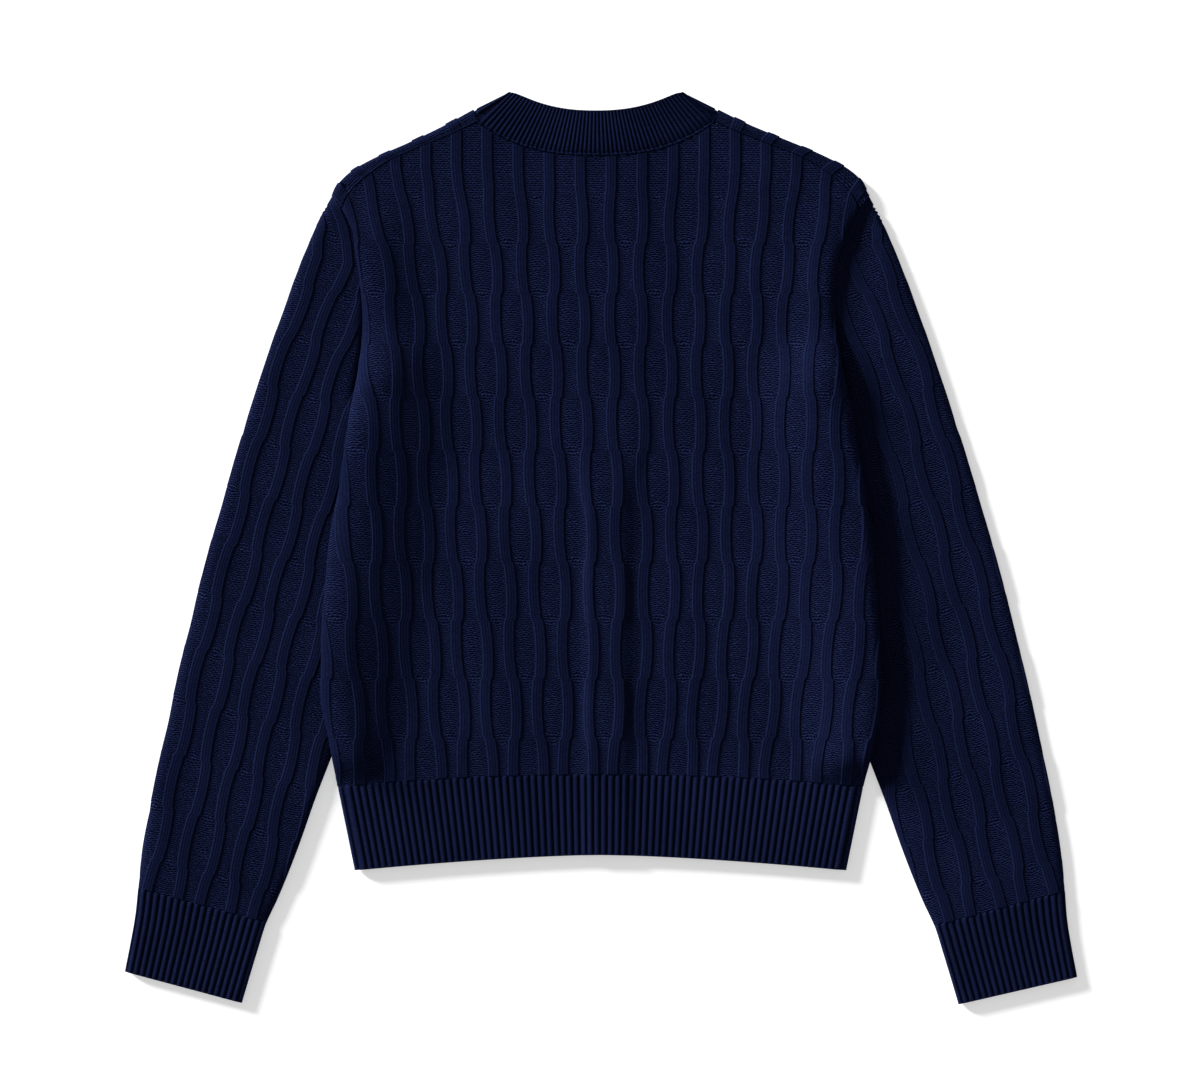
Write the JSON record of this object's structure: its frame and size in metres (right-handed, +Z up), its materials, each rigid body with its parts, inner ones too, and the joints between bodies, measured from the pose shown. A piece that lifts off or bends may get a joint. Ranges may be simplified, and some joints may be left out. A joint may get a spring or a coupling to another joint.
{
  "type": "knitted cardigan",
  "caption": "Long-sleeved cardigan in a wavy-ribbed knit, laid flat face down, with a ribbed neckband, hem and cuffs and a buttoned front beneath.",
  "frame": {"origin": "middle of the footprint of the lying garment, on the surface it lies on", "axes": "+X across the body from cuff to cuff, towards the wearer's right; +Y up the back to the neck; +Z up, from the buttoned front to the back"},
  "size_m": [0.7323, 0.7035, 0.0163],
  "materials": {
    "back_knit": "purl ground with wavy raised ribs",
    "front_left_knit": "purl ground with wavy raised ribs",
    "front_right_knit": "purl ground with wavy raised ribs",
    "sleeve_left_knit": "purl ground with wavy raised ribs",
    "sleeve_right_knit": "purl ground with wavy raised ribs",
    "hem_back_rib": "fine alternating ribs",
    "hem_front_left_rib": "fine alternating ribs",
    "hem_front_right_rib": "fine alternating ribs",
    "cuff_left_rib": "fine alternating ribs",
    "cuff_right_rib": "fine alternating ribs",
    "neckband_rib": "fine alternating ribs",
    "band_button_rib": "fine alternating ribs",
    "band_buttonhole_rib": "fine alternating ribs",
    "button_horn": "satin, four sewing holes"
  },
  "bodies": {
    "root": {"back": "back_knit", "front_left": "front_left_knit", "front_right": "front_right_knit", "sleeve_left": "sleeve_left_knit", "sleeve_right": "sleeve_right_knit", "hem_rib_back": "hem_back_rib", "hem_rib_front_left": "hem_front_left_rib", "hem_rib_front_right": "hem_front_right_rib", "cuff_left": "cuff_left_rib", "cuff_right": "cuff_right_rib", "neckband": "neckband_rib", "band_button": "band_button_rib", "band_buttonhole": "band_buttonhole_rib", "button_1": "button_horn", "button_2": "button_horn", "button_3": "button_horn", "button_4": "button_horn", "button_5": "button_horn", "button_6": "button_horn", "button_7": "button_horn"}
  },
  "joints": []
}
